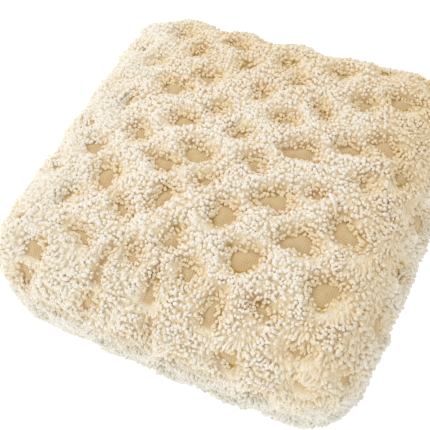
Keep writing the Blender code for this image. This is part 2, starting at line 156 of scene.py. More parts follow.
def sideForm(across, down, height):
    # the same for a side facing -Y: down runs over the top roll, the upright part and the base roll
    levelX, slopeX = rollOver(across)
    above = np.clip(1 - down / rollLength, 0, 1.4)
    below = np.clip((down - rollLength - upright) / baseLength, 0, 1.3)
    slopeZ = np.tan(math.pi / 4 * above) - np.tan(math.pi / 4 * below)
    normal = np.stack([slopeX, -np.ones_like(slopeX), slopeZ], axis=-1)
    normal /= np.linalg.norm(normal, axis=-1, keepdims=True)
    level = form["topHeight"] - form["topRoll"] - np.clip(down - rollLength, 0, upright)
    core = np.stack([levelX, np.full_like(levelX, -flat), level], axis=-1)
    roll = np.where(slopeZ > 0, form["topRoll"], form["baseRoll"])
    corner = np.full_like(roll, form["cornerRadius"])
    return core + normal * np.stack([corner, corner, roll], axis=-1) + normal * height[..., None]


def filled(points):
    # swells the plain form: crown and side bulge fall off from the middle, corners are pulled out of true
    x, y, z = np.moveaxis(points, -1, 0)
    sideX = x / form["halfWidth"]
    sideY = y / form["halfWidth"]
    middleX = np.clip(1 - sideX**2, 0, 1)
    middleY = np.clip(1 - sideY**2, 0, 1)
    upper = np.clip(z / form["topHeight"], 0, 1.2)
    belly = np.sin(math.pi * np.clip(z / form["topHeight"], 0, 1))
    newX = x + form["sideBulge"] * belly * middleY * np.sign(x) * np.abs(sideX) ** 3
    newY = y + form["sideBulge"] * belly * middleX * np.sign(y) * np.abs(sideY) ** 3
    newZ = z + upper**2 * form["crown"] * middleX * middleY
    for cornerX, cornerY, pullX, pullY, lift in form["corners"]:
        weight = np.clip(1 + cornerX * sideX, 0, 2) * np.clip(1 + cornerY * sideY, 0, 2) / 4
        newX += pullX * weight
        newY += pullY * weight
        newZ += lift * weight * upper**2
    return np.stack([newX, newY, newZ], axis=-1)


def panelPoints(panel, across, down, height):
    # the plain form's point at that height over the cloth, swelled and turned to its side;
    # down is the second cloth direction: towards +Y on the top, towards the floor on a side
    quarter = panels[panel]
    if quarter is None:
        return filled(topForm(across, down, height)) + offCentre
    return filled(turned(sideForm(across, down, height), quarter)) + offCentre


def baseRing():
    # outline of the base: the bottom rim of the four sides, drawn in a little
    across = np.linspace(-reach, reach, form["basePoints"] + 1)[:-1]
    low = np.full_like(across, drop)
    sides = [filled(turned(sideForm(across, low, np.zeros_like(across)), quarter)) for quarter in range(4)]
    return np.concatenate(sides) * (form["baseInset"], form["baseInset"], 0)


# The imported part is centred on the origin, so this form moves with its base cloth.
offCentre = np.zeros(3)
baseLow, baseHigh = (np.array(corner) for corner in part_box("base_panel"))
ownBase = baseRing()
offCentre[:2] = (baseLow + baseHigh)[:2] / 2 - (ownBase.min(axis=0) + ownBase.max(axis=0))[:2] / 2
print("form is off centre by (mm):", np.round(offCentre * 1000, 2))


def clothPlace(panel, across, down):
    # where a point of a panel lies when the whole cover is laid flat
    quarter = panels[panel]
    if quarter is None:
        return across, down
    place = np.stack([across, -(reach + down), np.zeros_like(across)], axis=-1)
    u, v, _ = np.moveaxis(turned(place, quarter), -1, 0)
    return u, v


def pitList(column, row):
    # every pit near these places of the cover: its crossing, strays, radius, length over width, turn
    pits = []
    for i in range(math.floor(column.min()) - 1, math.ceil(column.max()) + 2):
        for j in range(math.floor(row.min()) - 1, math.ceil(row.max()) + 2):
            if (i + j) % 2:
                continue
            stray = 1000 * pitField["stray"]
            plain = (
                stray * (2 * chance(i, j, 1) - 1),
                stray * (2 * chance(i, j, 2) - 1),
                1000 * pitField["radius"] * (0.75 + 0.5 * chance(i, j, 3)),
                1 + 0.5 * chance(i, j, 4),
                180 * chance(i, j, 5),
            )
            found = pitField["top"].get((i, j), plain)
            if found:
                pits.append((i, j) + tuple(found))
    return pits


def nearestPit(panel, across, down):
    # distance to the edge of the nearest pit (negative inside), and the way along the panel to its middle
    quarter = panels[panel]
    u, v = clothPlace(panel, across, down)
    if panel == "front":
        away = [
            (across - right / 1000, below / 1000 - down, radius, stretch, turn, k)
            for k, (right, below, radius, stretch, turn) in enumerate(pitField["front"])
        ]
        cos, sin = 1.0, 0.0
    else:
        cos, sin = math.cos(pitField["turn"]), math.sin(pitField["turn"])
        column = (u * cos + v * sin - pitField["start"][0]) / pitField["columnStep"]
        row = (pitField["start"][1] - v * cos + u * sin) / pitField["rowStep"]
        away = [
            (
                (column - i) * pitField["columnStep"] - right / 1000,
                (j - row) * pitField["rowStep"] - back / 1000, radius, stretch, turn, 31 * i + j,
            )
            for i, j, right, back, radius, stretch, turn in pitList(column, row)
        ]
    twice, thrice = pitField["ragged"]
    best = np.full_like(across, 1.0)
    toRight = np.zeros_like(across)
    toBack = np.zeros_like(across)
    for awayRight, awayBack, radius, stretch, turn, number in away:
        # an oval is a circle after its length is squeezed; its edge wanders a little with the angle
        lengthCos, lengthSin = math.cos(math.radians(turn)), math.sin(math.radians(turn))
        lengthways = (awayRight * lengthCos + awayBack * lengthSin) / math.sqrt(stretch)
        crossways = (awayBack * lengthCos - awayRight * lengthSin) * math.sqrt(stretch)
        angle = np.arctan2(crossways, lengthways)
        ragged = 1 + twice * np.sin(2 * angle + 6.3 * chance(number, 1, 4))
        ragged += thrice * np.sin(3 * angle + 6.3 * chance(number, 1, 5))
        edge = np.hypot(lengthways, crossways) - radius / 1000 * pitField["spread"] * ragged
        closer = edge < best
        length = np.hypot(awayRight, awayBack) + 1e-6
        best = np.where(closer, edge, best)
        toRight = np.where(closer, -awayRight / length, toRight)
        toBack = np.where(closer, -awayBack / length, toBack)
    toU = toRight * cos - toBack * sin
    toV = toRight * sin + toBack * cos
    if quarter is None:
        return best, toU, toV
    way = turned(np.stack([toU, toV, np.zeros_like(toU)], axis=-1), (4 - quarter) % 4)
    return best, way[..., 0], -way[..., 1]


lie = {
    "matted": (0.15, 0.23),   # where the pile grows matted, towards the right edge of the top
    "mattedOver": 0.020,     # how far that goes on past the seam
    "combed": (0.15, 0.23),   # where it grows combed down, towards the front edge of the top
    "combedLeft": 0.25,      # share of that at the left of the front
    "combedRight": (-0.12, 0.0),   # where, from left to right, the share grows to the whole
    "combedSide": 0.030,     # the other sides are combed down from this far past the seam
    "mattedKeeps": 0.7,      # share by which matted pile isn't combed
}


def waves(u, v, kind):
    # products and sums of sines: a smooth field from -1 to 1, about 60 to 90 mm from crest to crest
    first = np.sin(78 * u + 31 * v + 1.7 * kind) * np.cos(64 * v - 22 * u + 2.9 * kind)
    second = np.sin(141 * u - 93 * v + 4.1 * kind)
    return 0.65 * first + 0.35 * second


def matted(u):
    # 1 where the pile is pressed flat: along the right edge of the top
    return smoothStep(u, *lie["matted"]) * (1 - smoothStep(u, reach, reach + lie["mattedOver"]))


def combed(u, v):
    # 1 where it is combed down: on the sides and along the front edge of the top; less at the front's left
    side = smoothStep(np.maximum(np.abs(u), v), reach, reach + lie["combedSide"])
    left = lie["combedLeft"]
    front = smoothStep(-v, *lie["combed"]) * (left + (1 - left) * smoothStep(u, *lie["combedRight"]))
    return np.maximum(front, side) * (1 - lie["mattedKeeps"] * matted(u))


def linearColour(hexText):
    # sRGB hex to the linear colour that shaders take
    parts = [int(hexText[k:k + 2], 16) / 255 for k in (1, 3, 5)]
    return [p / 12.92 if p <= 0.04045 else ((p + 0.055) / 1.055) ** 2.4 for p in parts] + [1.0]


def addNode(tree, kind, values=None, links=None, stops=(), output=0, **settings):
    # a node with its settings, its inputs' values and links, and its colour ramp's stops; gives an output
    node = tree.nodes.new("ShaderNode" + kind)
    for name, value in settings.items():
        setattr(node, name, value)
    for socket, value in (values or {}).items():
        node.inputs[socket].default_value = value
    for socket, source in (links or {}).items():
        tree.links.new(source, node.inputs[socket])
    for _ in stops[2:]:
        node.color_ramp.elements.new(0.5)
    for number, (place, colour) in enumerate(stops):
        element = node.color_ramp.elements[number]
        element.position = place
        element.color = linearColour(colour)
    return node.outputs[output]


def newMaterial(name, values):
    # a material whose Principled BSDF has these values
    material = bpy.data.materials.new(name)
    material.use_nodes = True
    shader = material.node_tree.nodes["Principled BSDF"]
    for socket, value in values.items():
        shader.inputs[socket].default_value = value
    return material, material.node_tree, shader


def waveScale(mm):
    # a wave texture of scale 1 has 20 radians to the metre: the scale at which its bands lie so far apart
    return 2 * math.pi * 1000 / mm / 20


wool = {
    "deep": "#EBD8AC",       # painted shade: yarn that lies low around a pit
    "root": "#F8E7C5",       # painted shade: yarn deep in the pile
    "middle": "#F6EAD2",
    "tip": "#FDF8EF",        # cut ends on top of the pile, where the painted shade is lightest
    "warm": "#F9F0D8",       # the yellowest yarns of the batch
    "paintedCoolLight": "#EFECE1",       # painted cool light: the greyer cream where the floor's glow and the cool lamp light the wool
    "sheenTint": "#FFF6E6",
    "sheen": 0.25,
    "roughness": 0.85,
    "plyDepth": 0.0008,      # of the grooves between the two plies
    "plyStrength": 0.20,
}


def makeWoolMaterial():
    # hand-spun ivory wool, two-ply and cut: matt, a soft sheen, and painted shade, darker and more golden
    # towards the knot
    material, tree, shader = newMaterial("hand-spun wool yarn", {
        "Roughness": wool["roughness"], "Specular IOR Level": 0.2, "Sheen Weight": wool["sheen"],
        "Sheen Roughness": 0.5, "Sheen Tint": linearColour(wool["sheenTint"]),
    })
    # each tuft's painted light, the yellowness of its lot, and its painted cool light
    pale, lot, coolLit = (
        addNode(tree, "Attribute", output="Fac", attribute_name=name) for name in ("pale", "lot", "paintedCoolLight")
    )
    # painted shade: darker and more golden low in the pile and beside pits, lightest at the tips
    ramp = addNode(tree, "ValToRGB", links={"Fac": pale}, stops=(
        (0.05, wool["deep"]), (0.35, wool["root"]), (0.60, wool["middle"]), (0.90, wool["tip"]),
    ))
    warm = addNode(
        tree, "Mix", {"B": linearColour(wool["warm"])}, {"A": ramp, "Factor": lot},
        output="Result", data_type="RGBA", blend_type="MULTIPLY",
    )
    # painted cool light: greyer on the lower sides and at the left and front of the top
    greyed = addNode(
        tree, "Mix", {"B": linearColour(wool["paintedCoolLight"])}, {"A": warm, "Factor": coolLit},
        output="Result", data_type="RGBA",
    )
    tree.links.new(greyed, shader.inputs["Base Color"])
    # the plies' grooves run slantwise round each tuft; its UV goes once round it and once along it
    place = addNode(tree, "UVMap", uv_map="yarn")
    twist = addNode(
        tree, "TexWave", {"Scale": 1.0, "Distortion": 1.5, "Detail": 1.0}, {"Vector": place},
        output="Fac", wave_type="BANDS", bands_direction="DIAGONAL",
    )
    groove = {"Strength": wool["plyStrength"], "Distance": wool["plyDepth"]}
    bump = addNode(tree, "Bump", groove, {"Height": twist})
    tree.links.new(bump, shader.inputs["Normal"])
    return material


weave = {
    "light": "#F0DDB6",
    "dark": "#D4B686",
    "felt": "#FFF0CE",       # felted yarn between the knots
    "feltPale": "#FFF4DA",
    "creaseShade": "#B8962E",     # painted shade, olive gold, in some of the creases at pits' edges
    "roughness": 0.95,
    "ribMm": 2.7,            # from one weft rib to the next, drawn coarse enough to show
    "ribDepth": 0.0008,
    "warpShare": 0.8,        # warps to one rib
    "cloudMm": 16.67,        # paler and darker patches
    "creaseMm": 26.3,        # patches of that painted shade
    "backMm": 3.03,          # rounded backs of bent yarn between the knots
    "backDepth": 0.0045,
}


def makeGroundMaterial():
    # plain-woven undyed wool ground: tight weft ribs over thick warps, matt
    material, tree, shader = newMaterial("plain-woven wool ground", {
        "Roughness": weave["roughness"], "Specular IOR Level": 0.2, "Sheen Weight": 0.2,
    })
    place = addNode(tree, "UVMap", uv_map="cloth")    # cloth coordinates in metres
    ribScale = waveScale(weave["ribMm"])
    ribs = addNode(
        tree, "TexWave", {"Scale": ribScale, "Distortion": 0.6, "Detail": 1.0, "Detail Scale": 2.0},
        {"Vector": place}, output="Fac", wave_type="BANDS", bands_direction="Y",
    )
    warps = addNode(
        tree, "TexWave", {"Scale": ribScale * weave["warpShare"], "Distortion": 0.4},
        {"Vector": place}, output="Fac", wave_type="BANDS", bands_direction="X",
    )
    grid = addNode(tree, "Math", links={0: ribs, 1: warps}, operation="MULTIPLY")
    cloud, patches = (
        addNode(tree, "TexNoise", {"Scale": 1000 / size, "Detail": detail}, {"Vector": place})
        for size, detail in ((weave["cloudMm"], 3.0), (weave["creaseMm"], 1.0))
    )
    tone = addNode(tree, "Math", links={0: grid, 1: cloud}, operation="MULTIPLY")
    covered, coolLit = (
        addNode(tree, "Attribute", output="Fac", attribute_name=name) for name in ("covered", "paintedCoolLight")
    )
    # bare cloth, felted yarn, and painted shade in the creases: in patches, low where the felted yarn rises
    bare, felt, some, slope = (
        addNode(tree, "ValToRGB", links={"Fac": source}, stops=stops)
        for source, stops in (
            (tone, ((0.0, weave["dark"]), (0.55, weave["light"]))),
            (cloud, ((0.35, weave["felt"]), (0.65, weave["feltPale"]))),
            (patches, ((0.52, "#000000"), (0.64, "#FFFFFF"))),
            (covered, ((0.0, "#000000"), (0.06, "#FFFFFF"), (0.35, "#FFFFFF"), (0.7, "#000000"))),
        )
    )
    # the same painted cool light on the felted yarn
    greyed = addNode(
        tree, "Mix", {"B": linearColour(wool["paintedCoolLight"])}, {"A": felt, "Factor": coolLit},
        output="Result", data_type="RGBA",
    )
    both = addNode(
        tree, "Mix", links={"Factor": covered, "A": bare, "B": greyed}, output="Result", data_type="RGBA",
    )
    # painted shade where the felted yarn starts to cover the cloth at a pit's edge
    share = addNode(tree, "Math", links={0: some, 1: slope}, operation="MULTIPLY")
    creased = addNode(
        tree, "Mix", {"B": linearColour(weave["creaseShade"])}, {"Factor": share, "A": both},
        output="Result", data_type="RGBA",
    )
    tree.links.new(creased, shader.inputs["Base Color"])
    # ribs stand out in the pits, and the rounded backs of bent yarn between the knots
    backs = addNode(
        tree, "TexVoronoi", {"Scale": 1000 / weave["backMm"], "Smoothness": 0.6}, {"Vector": place},
        feature="SMOOTH_F1",
    )
    rounded = addNode(tree, "Math", {0: 1.0}, {1: backs}, operation="SUBTRACT")
    ribBump, backBump = (
        addNode(tree, "Bump", {"Strength": 0.7, "Distance": distance}, {"Height": height})
        for distance, height in ((weave["ribDepth"], grid), (weave["backDepth"], rounded))
    )
    bump = addNode(
        tree, "Mix", links={"Factor": covered, "A": ribBump, "B": backBump},
        output="Result", data_type="VECTOR",
    )
    tree.links.new(bump, shader.inputs["Normal"])
    return material


canvas = {
    "light": "#E6DBC0",
    "dark": "#C9B992",
    "roughness": 0.9,
    "threadMm": 1.5,         # from one thread to the next, drawn coarse enough to show
    "threadDepth": 0.0004,
}


def makeCanvasMaterial():
    # unbleached cotton canvas, plainly woven: matt, with an even grid of threads
    material, tree, shader = newMaterial("unbleached cotton canvas", {"Roughness": canvas["roughness"]})
    place = addNode(tree, "TexCoord", output="Object")
    lengthways, crossways = (
        addNode(
            tree, "TexWave", {"Scale": waveScale(canvas["threadMm"]), "Distortion": 0.3},
            {"Vector": place}, output="Fac", wave_type="BANDS", bands_direction=axis,
        )
        for axis in ("X", "Y")
    )
    grid = addNode(tree, "Math", links={0: lengthways, 1: crossways}, operation="MAXIMUM")
    ramp = addNode(
        tree, "ValToRGB", links={"Fac": grid}, stops=((0.0, canvas["dark"]), (1.0, canvas["light"])),
    )
    tree.links.new(ramp, shader.inputs["Base Color"])
    bump = addNode(tree, "Bump", {"Strength": 0.4, "Distance": canvas["threadDepth"]}, {"Height": grid})
    tree.links.new(bump, shader.inputs["Normal"])
    return material


def meshFromArrays(name, points, triangles=None, quads=None, uvName=None, uvs=None, attributes=None):
    # whole arrays into a new mesh: triangles first, then quads
    parts = [part for part in (triangles, quads) if part is not None and len(part)]
    loops = np.concatenate([part.ravel() for part in parts]).astype(np.int32)
    sizes = np.concatenate([np.full(len(part), part.shape[1], np.int32) for part in parts])
    mesh = bpy.data.meshes.new(name)
    mesh.vertices.add(len(points))
    mesh.vertices.foreach_set("co", np.ascontiguousarray(points, np.float32).ravel())
    mesh.loops.add(len(loops))
    mesh.loops.foreach_set("vertex_index", loops)
    mesh.polygons.add(len(sizes))
    mesh.polygons.foreach_set("loop_start", np.concatenate([[0], np.cumsum(sizes)[:-1]]).astype(np.int32))
    mesh.polygons.foreach_set("use_smooth", np.ones(len(sizes), bool))
    if uvs is not None:
        layer = mesh.uv_layers.new(name=uvName)
        layer.data.foreach_set("uv", np.ascontiguousarray(uvs, np.float32).ravel())
    for key, values in (attributes or {}).items():
        mesh.attributes.new(key, "FLOAT", "POINT").data.foreach_set("value", values.astype(np.float32))
    mesh.update(calc_edges=True)
    mesh.validate()
    piece = bpy.data.objects.new(name, mesh)
    bpy.context.scene.collection.objects.link(piece)
    return piece


def gridQuads(rows, columns, firstIndex):
    # the four-cornered faces of a grid of points, row by row
    corner = (np.arange(rows)[:, None] * (columns + 1) + np.arange(columns)[None, :]).ravel() + firstIndex
    return np.stack([corner, corner + 1, corner + columns + 2, corner + columns + 1], axis=1)


ground = {
    "cells": 150,            # faces across a panel
    "sideCells": 56,         # faces down a side
    "sunk": 0.0002,          # the surface lies this far below the height that the tufts reckon with
    "felt": 0.0143,          # height of the felted yarn between the knots
    "feltCombed": 0.16,      # share by which it is lower where the pile is combed down
    "feltMatted": 0.26,      # the same where it is matted
    "bare": 0.0030,          # thickness of the woven cloth, seen in the pits
    "swell": 0.0045,         # how far the filling lifts the cloth in the middle of a pit
    "swellReach": 0.015,     # from the pit's edge to where it is lifted so far
    "feltEdge": (-0.003, 0.019),   # from here to here past a pit's edge the felted yarn rises
    "lumps": (0.10, 0.06),   # its unevenness: in broad waves, and in small bumps
    "bumpWaves": (430, 390),
    "feltBorder": 0.008,     # this far from a seam or the bottom rim it is as high as elsewhere
    "seamFelt": 0.0110,      # its height along the seams, the same for every panel
    "bottomGap": 0.0004,     # from the base cloth up to the flat bottom
}


def feltHeight(panel, across, down):
    # the bare cloth in a pit, rising to the felted yarn between pits; one height along the seams,
    # nothing at the bottom rim. Also how far the felted yarn covers the cloth, from 0 to 1
    u, v = clothPlace(panel, across, down)
    edge, _, _ = nearestPit(panel, across, down)
    if panel == "top":
        border = reach - np.maximum(np.abs(across), np.abs(down))
        rim = np.ones_like(across)
    else:
        border = np.minimum(reach - np.abs(across), down)
        rim = smoothStep(drop - down, 0.0, ground["feltBorder"])
    inside = smoothStep(border, 0.0, ground["feltBorder"])
    share = smoothStep(edge, *ground["feltEdge"])
    broad, small = ground["lumps"]
    bumpU, bumpV = ground["bumpWaves"]
    lumps = 1 + broad * waves(u, v, 3) + small * np.sin(bumpU * u) * np.sin(bumpV * v)
    lumps -= ground["feltCombed"] * combed(u, v) + ground["feltMatted"] * matted(u)
    bare = ground["bare"] + ground["swell"] * smoothStep(-edge, 0.0, ground["swellReach"])
    height = bare + share * (lumps * ground["felt"] - bare)
    height = ground["seamFelt"] + inside * (height - ground["seamFelt"])
    return height * rim, 1 - inside * (1 - share)


# painted cool light: where the pile is lit mostly by the floor's glow and the cool lamp, it looks greyer
coolLighting = {
    "top": 0.30,             # how grey the painted cool light makes parts of the top, from 0 to 1
    "front": 0.13,           # from here to its front edge the top grows grey
    "frontFades": (-0.10, 0.10),   # where, from left to right, that fades out
    "left": (0.14, 0.23),    # where it grows grey towards its left edge
    "side": (0.20, 0.75),    # how grey a side is along its top seam, and how much more lower down
    "sideFrom": (0.03, 0.10),   # from here to here below the seam that is added
}


def coolLightShare(panel, across, down):
    # how far painted cool light greys the wool: low on the sides, and a little at the left of the top
    if panel == "top":
        front = 1 - smoothStep(across, *coolLighting["frontFades"])
        front = coolLighting["top"] * smoothStep(-down, coolLighting["front"], reach) * front
        return np.maximum(front, coolLighting["top"] * smoothStep(-across, *coolLighting["left"]))
    seam, lower = coolLighting["side"]
    return seam + lower * smoothStep(down, *coolLighting["sideFrom"])


def buildGround(material):
    # one closed form: five grids of the ground's formula, joined along their seams, and a flat bottom
    points, quads, uvs, covered, paintedCoolLight = [], [], [], [], []
    count = 0
    across = np.linspace(-reach, reach, ground["cells"] + 1)
    down = np.linspace(drop, 0, ground["sideCells"] + 1)
    for panel in panels:
        rows = across if panel == "top" else down
        second, first = np.meshgrid(rows, across, indexing="ij")
        felt, share = feltHeight(panel, first, second)
        points.append(panelPoints(panel, first, second, felt - ground["sunk"]).reshape(-1, 3))
        covered.append(share.ravel())
        paintedCoolLight.append(coolLightShare(panel, first, second).ravel())
        faces = gridQuads(len(rows) - 1, len(across) - 1, count)
        u, v = clothPlace(panel, first, second)
        place = np.stack([u, v], axis=-1).reshape(-1, 2)
        uvs.append(place[faces - count].reshape(-1, 2))
        quads.append(faces)
        count += first.size
    low = np.full(len(across) - 1, drop)
    ring = np.concatenate([
        panelPoints(panel, across[:-1], low, np.full_like(low, -ground["sunk"]))
        for panel in ("front", "right", "back", "left")
    ])
    # the bottom: the rim drawn in and down to the base cloth, then closed to a point in the middle
    flatRing = offCentre + (ring - offCentre) * (form["baseInset"], form["baseInset"], 0)
    flatRing[:, 2] = form["baseHeight"] + ground["bottomGap"]
    middle = flatRing.mean(axis=0, keepdims=True)
    points += [ring, flatRing, middle]
    index = np.arange(len(ring))
    after = (index + 1) % len(ring)
    inner, innerAfter = index + len(ring), after + len(ring)
    skirt = np.stack([inner, innerAfter, after, index], axis=1) + count
    cap = np.stack([inner, np.full_like(index, 2 * len(ring)), innerAfter], axis=1) + count
    allPoints = np.concatenate(points)
    covered.append(np.ones(len(allPoints) - count))
    paintedCoolLight.append(np.ones(len(allPoints) - count))
    capUvs, skirtUvs = (allPoints[faces][..., :2].reshape(-1, 2) for faces in (cap, skirt))
    piece = meshFromArrays(
        "woven_ground", allPoints, cap, np.concatenate(quads + [skirt]),
        "cloth", np.concatenate([capUvs] + uvs + [skirtUvs]),
        {"covered": np.concatenate(covered), "paintedCoolLight": np.concatenate(paintedCoolLight)},
    )
    weld = piece.modifiers.new("sew the panels", "WELD")
    weld.merge_threshold = 0.00005
    piece.data.materials.append(material)
    return piece


tuft = {
    "spacing": {"top": 0.0049, "side": 0.0048},   # from knot to knot
    "pitch": (0.88, 1.05),   # the same in a row and from row to row, over the spacing
    "scatter": 0.12,         # how far knots stray, over the spacing
    "length": 0.0190,
    "lengthSpread": (0.09, 0.06),   # how much that varies, from patch to patch and from tuft to tuft
    "radius": 0.0032,
    "radiusSpread": (0.70, 1.15),
    "sides": 5,
    "hangShade": (0.20, 0.021),   # painted shade on yarn beside a pit where it hangs over: how dark, and how far from the pit
    "mattedShade": 0.16,       # painted shade on the matted yarn along the right edge of the top: how dark
    "tipShare": 0.45,        # share of a tuft's painted light that grows along it; the rest grows with height, as painted shade low in the pile
    "fullHeight": 0.0185,    # where the tips are palest
    "overhang": 0.0080,      # how far a tuft at a pit's far edge leans over it
    "overhangSpread": (0.4, 1.5),
    "nearOverhang": 0.50,    # share of that at its near edge
    "edgeFade": 0.021,       # the overhang ends this far from the pit
    "edgeLow": (0.50, 0.020),   # how much shorter the pile is at a pit's edge, and how far from it
    "edgeThin": (0.10, 0.012),   # how much thinner it is there, and how far from it
    "clear": 0.0036,         # how far a tuft stands out of the felted yarn at least
    "clearSpread": (0.8, 1.3),
    "crowded": 0.009,        # knots this close to a pit stand twice as close
    "knotSetBack": 0.001,    # bare ground between a pit's edge and the first knots
    "comb": 0.0095,          # lean of whole patches of pile
    "clumpSize": 0.0135,     # neighbouring tufts whose tips draw together
    "clumpPull": 0.28,
    "jitter": 0.0018,
    "mostLean": 0.80,        # of its length
    "sway": 0.0008,          # how far a tuft bows sideways
    "sag": (0.0055, 0.4),    # lean towards the floor on the sides, and the share of it at the top seam
    "sagFrom": (0.03, 0.10),   # where, below the seam, it grows to the whole
    "rimShort": (0.35, 0.06),   # how much shorter the pile is at the bottom rim, and how far up
    "matted": 0.0090,        # lean along the cloth where the pile is matted, down or to the front
    "mattedScatter": 0.0030,
    "mattedLow": (0.10, 0.25),   # how much lower matted tufts are, and how much less they stand clear
    "mattedThin": 0.12,
    "combed": 0.0020,        # lean to the front where the top is combed
    "combedThin": 0.18,
    "seamLean": 0.0025,      # lean of the outermost tufts of the top over the seam
    "seamReach": 0.030,
    "leftLight": 0.90,        # painted light: how much paler the left edge of the top is
    "leftLightFrom": (0.17, 0.25),
    "backTan": 0.20,         # how much browner the back of the top is
    "backFrom": (0.0, 0.20),
    "lot": 0.35,             # how yellow a tuft may be
    "coolLightSpread": 0.06,
    "rootDepth": 0.0006,     # a tuft's foot lies this far below the cloth's plain form
    "lowest": 0.0035,        # no tuft's middle line comes nearer the floor
    "fringe": 0.0122,        # tufts this close to a pit are kept as a piece of their own
    # stations along a tuft, with its thickness there; away from pits it starts inside the felted yarn
    "shag": ((0.35, 0), (0.55, 1.0), (0.80, 1.0), (0.95, 0.68), (1.0, 0)),
    "pit_fringe": ((0.0, 0), (0.30, 0.90), (0.62, 1.0), (0.90, 0.84), (1.0, 0)),
}


def clumpPull(across, down):
    # the way from each knot to the middle of its clump; clumps lie in staggered rows, a little out of place
    size = tuft["clumpSize"]
    row = np.round(down / size)
    shift = 0.5 * (row % 2)
    column = np.round(across / size - shift)
    middleAcross = (column + shift + 0.5 * (chance(column, row, 6) - 0.5)) * size
    middleDown = (row + 0.5 * (chance(column, row, 7) - 0.5)) * size
    return middleAcross - across, middleDown - down


def knotGrid(panel, dice):
    # staggered rows of knots, each a little out of place
    height = 2 * reach if panel == "top" else drop
    step = tuft["spacing"]["top" if panel == "top" else "side"]
    inRow, betweenRows = tuft["pitch"]
    columns = int(2 * reach / (step * inRow))
    rows = int(height / (step * betweenRows))
    j, i = np.meshgrid(np.arange(rows), np.arange(columns), indexing="ij")
    across = -reach + (i + 0.25 + 0.5 * (j % 2)) * 2 * reach / columns
    down = (j + 0.5) * height / rows
    across += dice.normal(0, tuft["scatter"] * step, across.shape)
    down += dice.normal(0, tuft["scatter"] * step, down.shape)
    if panel == "top":
        down -= reach
    return across.ravel(), down.ravel()


def placeKnots(panel, dice):
    # the knots outside the pits, twice as close beside them, with each one's distance and way to a pit
    across, down = knotGrid(panel, dice)
    moreAcross, moreDown = knotGrid(panel, dice)
    edge, _, _ = nearestPit(panel, moreAcross, moreDown)
    more = edge < tuft["crowded"] * dice.uniform(0.3, 1.0, len(edge))
    across, down = np.append(across, moreAcross[more]), np.append(down, moreDown[more])
    edge, toAcross, toDown = nearestPit(panel, across, down)
    keep = edge > tuft["knotSetBack"] * dice.uniform(0.4, 1.4, len(edge))
    return [values[keep] for values in (across, down, edge, toAcross, toDown)]


def tuftTemplate(sides, rings):
    # a closed tube with a point at each end: corner indices, and a UV for each corner
    triangles, triangleUvs, quads, quadUvs = [], [], [], []
    tip = rings * sides + 1
    heights = np.linspace(0.15, 0.90, rings)
    for side in range(sides):
        after = (side + 1) % sides
        left, right = side / sides, (side + 1) / sides
        triangles.append((0, 1 + after, 1 + side))
        triangleUvs.append(((left, 0), (right, heights[0]), (left, heights[0])))
        last = 1 + (rings - 1) * sides
        triangles.append((tip, last + side, last + after))
        triangleUvs.append(((left, 1), (left, heights[-1]), (right, heights[-1])))
        for low in range(1, last, sides):
            high = low + sides
            bottom, top = heights[low // sides], heights[high // sides]
            quads.append((low + side, low + after, high + after, high + side))
            quadUvs.append(((left, bottom), (right, bottom), (right, top), (left, top)))
    return np.array(triangles), np.array(triangleUvs), np.array(quads), np.array(quadUvs)


def unit(vectors):
    # the same directions with length 1
    return vectors / (np.linalg.norm(vectors, axis=-1, keepdims=True) + 1e-9)


def tuftMesh(name, centres, radii, pale, lots, paintedCoolLight, material):
    # closed tubes: round each inner station of a middle line, its radius times spokes square to the line.
    # centres: tufts x stations x 3, with a pole at each end; radii: tufts x inner stations
    count, sides = len(centres), tuft["sides"]
    rings = radii.shape[1]
    tangent = unit(centres[:, 2:] - centres[:, :-2])
    # each ring's spokes follow on from those of the ring before, so that a bent tube doesn't twist
    aside = np.where(np.abs(tangent[:, 0, :1]) < 0.7, (1.0, 0.0, 0.0), (0.0, 1.0, 0.0))
    spoke = np.cross(tangent[:, 0], aside)
    first = []
    for ring in range(rings):
        along = tangent[:, ring]
        spoke = unit(spoke - along * (spoke * along).sum(axis=-1, keepdims=True))
        first.append(spoke)
    first = np.stack(first, axis=1)
    second = np.cross(tangent, first)
    angles = 2 * math.pi * np.arange(sides) / sides
    spokes = first[:, :, None] * np.cos(angles)[:, None] + second[:, :, None] * np.sin(angles)[:, None]
    tube = centres[:, 1:-1, None] + spokes * radii[:, :, None, None]
    tube = tube.reshape(count, rings * sides, 3)
    points = np.concatenate([centres[:, :1], tube, centres[:, -1:]], axis=1)
    triangles, triangleUvs, quads, quadUvs = tuftTemplate(sides, rings)
    size = points.shape[1]
    starts = (np.arange(count) * size)[:, None, None]
    uvs = np.concatenate([np.tile(part.reshape(-1, 2), (count, 1)) for part in (triangleUvs, quadUvs)])
    # painted light at each station, the same all round its ring
    ringPale = np.repeat(pale[:, 1:-1], sides, axis=1)
    pointPale = np.concatenate([pale[:, :1], ringPale, pale[:, -1:]], axis=1)
    piece = meshFromArrays(
        name, points.reshape(-1, 3),
        (triangles[None] + starts).reshape(-1, 3), (quads[None] + starts).reshape(-1, 4), "yarn", uvs,
        {"pale": pointPale.ravel(), "lot": np.repeat(lots, size), "paintedCoolLight": np.repeat(paintedCoolLight, size)},
    )
    piece.data.materials.append(material)
    return piece


